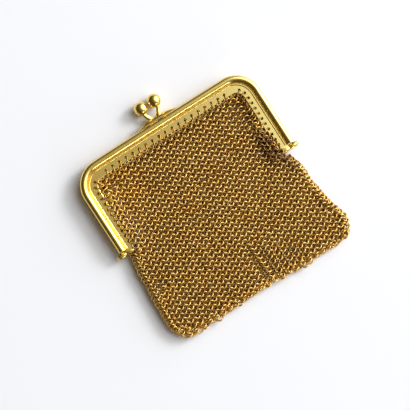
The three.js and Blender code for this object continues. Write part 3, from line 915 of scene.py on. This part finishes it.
def points_with_turns(name, rings):
    """One point for each ring, carrying its turn and its tone."""
    made = add_object(name, [place for place, _, _ in rings], [])
    turns = made.data.attributes.new("turn", "FLOAT_VECTOR", "POINT")
    turns.data.foreach_set("vector", np.array([tuple(turn) for _, turn, _ in rings], np.float32).ravel())
    tones = made.data.attributes.new("tone", "FLOAT", "POINT")
    tones.data.foreach_set("value", np.array([tone for _, _, tone in rings], np.float32))
    return made


# Gilt brass wire, drawn, wound to rings and worn: a deeper, softer yellow brown than the frame, each ring a
# little different, with painted shade in a dark red brown beside the right arm, where the mesh slopes away
# into shadow, and more orange at the upper left.
tone_patch = 9 * mm
# Size of the noise that breaks up the painted shade beside the right arm and the orange patch at the upper
# left.
patch_grain = 2.5 * mm
# The two red brown patches beside the right arm are painted shade. The third makes the upper left more
# orange.
painted_shade_and_tint_patches = [
    {"x": 0.80, "down": 0.42, "full": 2.0, "end": 8.0, "share": 1.3, "colour": "#7A4526"},
    {"x": 0.86, "down": 0.52, "full": 1.5, "end": 5.5, "share": 1.1, "colour": "#7A4526"},
    {"x": -0.70, "down": 0.20, "full": 4.0, "end": 12.0, "share": 0.8, "colour": "#F3BE50"},
]


def gilt_wire():
    made = bpy.data.materials.new("gilt_brass_wire_worn")
    made.use_nodes = True
    tree = made.node_tree
    shader = tree.nodes["Principled BSDF"]
    place = add_node(tree, "ShaderNodeTexCoord").outputs["Object"]
    tone = add_node(tree, "ShaderNodeAttribute", {"attribute_name": "tone"})
    spread = add_node(tree, "ShaderNodeTexNoise", inputs={
        "Vector": place, "Scale": 1 / tone_patch, "Detail": 2.0,
    })
    grain = add_node(tree, "ShaderNodeTexNoise", inputs={
        "Vector": place, "Scale": 1 / patch_grain, "Detail": 2.0,
    })
    both = add_node(tree, "ShaderNodeMix", {"data_type": "FLOAT"}, {
        0: 0.5, 2: tone.outputs["Fac"], 3: spread.outputs[0],
    })
    colour = add_node(tree, "ShaderNodeValToRGB", inputs={0: both.outputs[0]})
    colour.color_ramp.elements[0].color = linear("#CD9F4F")
    colour.color_ramp.elements[1].color = linear("#E2BE72")
    shade = colour.outputs[0]
    # Each patch mixes in its colour, strongest at its middle and broken up by the grain. Beside the right arm
    # this is painted shade.
    for patch in painted_shade_and_tint_patches:
        spot = (bar_middle + patch["x"] * half_width, bar_top - patch["down"] * bag_depth, bag_high.z)
        away = add_node(tree, "ShaderNodeVectorMath", {"operation": "DISTANCE"}, {0: place, 1: spot})
        near = add_node(tree, "ShaderNodeMapRange", {"interpolation_type": "SMOOTHSTEP"}, {
            "Value": away.outputs["Value"],
            1: patch["full"] * mm,
            2: patch["end"] * mm,
            3: patch["share"],
            4: 0.0,
        })
        patchy = add_node(tree, "ShaderNodeMath", {"operation": "MULTIPLY"}, {
            0: near.outputs[0], 1: grain.outputs[0],
        })
        mixed = add_node(tree, "ShaderNodeMix", {"data_type": "RGBA"}, {0: patchy.outputs[0], 6: shade})
        mixed.inputs[7].default_value = linear(patch["colour"])
        shade = mixed.outputs[2]
    tree.links.new(shade, shader.inputs["Base Color"])
    shader.inputs["Metallic"].default_value = 1.0
    shader.inputs["Roughness"].default_value = 0.39
    return made


wire = gilt_wire()
linked = ring_tree()
layers = {
    "ring_mesh_front": lay_layer(FRONT),
    "ring_mesh_back": lay_layer(BACK),
}
edge_rings = [ring for angle in (math.pi / 4, 0.0, -math.pi / 4) for ring in lay_edge(angle)]
edge_rings += lay_between(FRONT) + lay_between(BACK)
parting_y = bar_top - bag_depth * 0.55
groups = {}
for name, rings in layers.items():
    groups[name + "_upper"] = [ring for ring in rings if ring[0].y > parting_y]
    groups[name + "_lower"] = [ring for ring in rings if ring[0].y <= parting_y]
groups["ring_mesh_edge"] = edge_rings
for name, rings in groups.items():
    made = points_with_turns(name, rings)
    thick = back_wire_radius if "back" in name else wire_radius
    run_tree(made, linked, {
        "Ring Radius": ring_radius, "Wire Radius": thick, "Ring Sides": 14, "Wire Sides": 6, "Metal": wire,
    })
    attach(made, "root")
    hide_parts("mesh_bag")

# The hooks
# Each hole of a flange holds a narrow link of the same wire, which passes down through it and round the edge
# of the flange to the first rings of the mesh.
hook_length = 3.3 * mm
hook_width = 1.7 * mm
hook_wire = 0.2 * mm
hook_reach = 5.85 * mm
hook_drop = 0.12 * mm
hook_slant = math.radians(14)
hook_slant_scatter = math.radians(4)
arm_slant_share = 0.5
hook_lean = math.radians(72)
hook_lean_scatter = math.radians(5)


def hook_tree():
    """Sets a narrow wire link at each point."""
    tree = new_tree("mesh_hooks", {
        "Link Length": "NodeSocketFloat",
        "Link Width": "NodeSocketFloat",
        "Wire Radius": "NodeSocketFloat",
        "Metal": "NodeSocketMaterial",
    })
    given = add_node(tree, "NodeGroupInput")
    circle = add_node(tree, "GeometryNodeCurvePrimitiveCircle", inputs={"Resolution": 18, "Radius": 0.5})
    size = add_node(tree, "ShaderNodeCombineXYZ", inputs={
        "X": given.outputs["Link Length"], "Y": given.outputs["Link Width"], "Z": 1.0,
    })
    narrow = add_node(tree, "GeometryNodeTransform", inputs={
        "Geometry": circle.outputs["Curve"], "Scale": size.outputs[0],
    })
    section = add_node(tree, "GeometryNodeCurvePrimitiveCircle", inputs={
        "Resolution": 7, "Radius": given.outputs["Wire Radius"],
    })
    link = add_node(tree, "GeometryNodeCurveToMesh", inputs={
        "Curve": narrow.outputs[0], "Profile Curve": section.outputs["Curve"],
    })
    set_out(tree, given, link.outputs["Mesh"])
    return tree


def lay_hooks(half):
    """A link for each hole, standing on edge and leaning a little to the left."""
    links = []
    level = meeting_level + half * (half_gap / 2 + flange_level - sheet_thickness / 2)
    for place, inward in hole_places():
        middle = place + inward * (hook_reach - flange_reach + hole_to_edge)
        slant = hook_slant + random.normal(0, hook_slant_scatter)
        run = Vector((inward.x, inward.y, 0))
        on_bar = inward.y < -0.5
        run.rotate(Matrix.Rotation(-slant if on_bar else slant * arm_slant_share, 3, "Z"))
        lean = hook_lean + random.normal(0, hook_lean_scatter)
        side = run.cross(Vector((0, 0, 1)))
        rise = Vector((0, 0, 1)) * math.sin(lean) + side * math.cos(lean)
        normal = run.cross(rise).normalized()
        turn = Matrix((run, rise, normal)).transposed().to_euler()
        links.append((Vector((middle.x, middle.y, level - half * hook_drop)), turn, random.random()))
    return links


# The same wire, darker and browner all over for the hooks: painted shade standing in for the shadow on and
# beside the links.
shaded_hook_wire = wire.copy()
shaded_hook_wire.name = "gilt_brass_wire_rubbed_brown"
shaded_hook_tones = shaded_hook_wire.node_tree.nodes["Color Ramp"].color_ramp.elements
# Painted shade: the darker colours of the hook wire stand in for the shadow on the links.
shaded_hook_tones[0].color = linear("#8A6428")
shaded_hook_tones[1].color = linear("#B0863E")

hooks = hook_tree()
for name, half in (("mesh_hooks_front", FRONT), ("mesh_hooks_back", BACK)):
    made = points_with_turns(name, lay_hooks(half))
    run_tree(made, hooks, {
        "Link Length": hook_length, "Link Width": hook_width, "Wire Radius": hook_wire, "Metal": shaded_hook_wire,
    })
    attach(made, "root")
    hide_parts("mesh_bag")

# The floor
# The purse lies on a sheet of plain matt white card, much larger than the picture, so that its edges never
# show.
floor_size = 3.0
fibre_length = 3 * mm
fibre_relief = 0.1 * mm


# Uncoated white card: matt, a little warm, with the faintest unevenness of its fibres.
def white_card():
    made = bpy.data.materials.new("matt_white_card")
    made.use_nodes = True
    tree = made.node_tree
    shader = tree.nodes["Principled BSDF"]
    place = add_node(tree, "ShaderNodeTexCoord").outputs["Object"]
    fibre = add_node(tree, "ShaderNodeTexNoise", inputs={
        "Vector": place, "Scale": 1 / fibre_length, "Detail": 3.0,
    })
    bump = add_node(tree, "ShaderNodeBump", inputs={
        "Height": fibre.outputs[0], "Strength": 0.05, "Distance": fibre_relief,
    })
    tree.links.new(bump.outputs[0], shader.inputs["Normal"])
    shader.inputs["Base Color"].default_value = linear("#F6F2EC")
    shader.inputs["Roughness"].default_value = 0.8
    return made


far = floor_size / 2
corners = [(-far, -far, 0), (far, -far, 0), (far, far, 0), (-far, far, 0)]
floor = add_object("floor", corners, [(0, 1, 2, 3)])
floor.data.materials.append(white_card())

# Light and camera
# A soft light from the upper right of the picture, a weak one from the lower right, and a dim room with one
# pale window to the upper right. The camera looks down almost straight, as for the photograph.
picture_turn = math.radians(33.18)
target_right = -0.15 * mm
target_up = -3.29 * mm
target_height = 2 * mm
camera_distance = 0.45
camera_tilt = math.radians(8)
camera_side = math.radians(60)
picture_width = 0.1255
picture_right = Vector((math.cos(picture_turn), -math.sin(picture_turn), 0))
picture_up = Vector((math.sin(picture_turn), math.cos(picture_turn), 0))
target = picture_right * target_right + picture_up * target_up + Vector((0, 0, target_height))


def aim(made, place, at):
    """Puts a light at a place, facing another."""
    made.location = place
    made.rotation_mode = "QUATERNION"
    made.rotation_quaternion = (at - place).to_track_quat("-Z", "Y")


def soft_light(name, right, up, height, size, power, colour):
    """A round soft light, placed from the middle of the picture."""
    lamp = bpy.data.lights.new(name, "AREA")
    lamp.shape = "DISK"
    lamp.size = size
    lamp.energy = power
    lamp.color = linear(colour)[:3]
    made = bpy.data.objects.new(name, lamp)
    bpy.context.scene.collection.objects.link(made)
    aim(made, picture_right * right + picture_up * up + Vector((0, 0, height)), Vector((0, 0, 0)))


soft_light("key_light", right=0.6, up=0.45, height=0.5, size=0.3, power=4.6, colour="#EAF0FF")
soft_light("low_light", right=0.5, up=-0.6, height=0.2, size=0.25, power=0.9, colour="#EAF0FF")

world = bpy.data.worlds.new("pale_room")
world.use_nodes = True
sky = world.node_tree
direction = add_node(sky, "ShaderNodeTexCoord").outputs["Generated"]
window_turn = math.radians(30)
window_rise = math.radians(36)
room_strength = 3.1
window = (picture_right * math.cos(window_turn) + picture_up * math.sin(window_turn)) * math.cos(window_rise)
window += Vector((0, 0, math.sin(window_rise)))
facing = add_node(sky, "ShaderNodeVectorMath", {"operation": "DOT_PRODUCT"}, {0: direction, 1: window})
spread = add_node(sky, "ShaderNodeMapRange", inputs={"Value": facing.outputs["Value"], 1: -1.0, 2: 1.0})
band = add_node(sky, "ShaderNodeValToRGB", inputs={0: spread.outputs[0]})
band.color_ramp.elements[0].color = (0.028, 0.022, 0.014, 1.0)
band.color_ramp.elements[1].color = (0.95, 0.98, 1.0, 1.0)
room_shades = {
    0.55: (0.028, 0.023, 0.015),
    0.66: (0.052, 0.044, 0.032),
    0.77: (0.09, 0.084, 0.07),
    0.805: (0.15, 0.14, 0.13),
    0.827: (0.18, 0.175, 0.19),
    0.834: (0.125, 0.105, 0.075),
    0.846: (0.115, 0.095, 0.06),
    0.855: (0.16, 0.145, 0.12),
    0.863: (0.185, 0.185, 0.16),
    0.869: (0.24, 0.3, 0.56),
    0.88: (0.38, 0.46, 0.66),
    0.9: (0.65, 0.72, 0.82),
}
for place, colour in room_shades.items():
    band.color_ramp.elements.new(place).color = (*colour, 1.0)
sky.nodes["Background"].inputs["Strength"].default_value = room_strength
sky.links.new(band.outputs[0], sky.nodes["Background"].inputs["Color"])
bpy.context.scene.world = world

lens = bpy.data.cameras.new("camera")
lens.sensor_width = 36.0
lens.lens = lens.sensor_width * camera_distance / picture_width
lens.clip_start = 0.01
camera = bpy.data.objects.new("camera", lens)
bpy.context.scene.collection.objects.link(camera)
leaning = picture_right * math.sin(camera_side) + picture_up * math.cos(camera_side)
camera.location = target + camera_distance * (
    Vector((0, 0, math.cos(camera_tilt))) - leaning * math.sin(camera_tilt)
)
back = (camera.location - target).normalized()
up = (picture_up - back * picture_up.dot(back)).normalized()
camera.rotation_mode = "QUATERNION"
camera.rotation_quaternion = Matrix((up.cross(back), up, back)).transposed().to_quaternion()
bpy.context.scene.camera = camera
bpy.context.scene.view_settings.view_transform = "Standard"
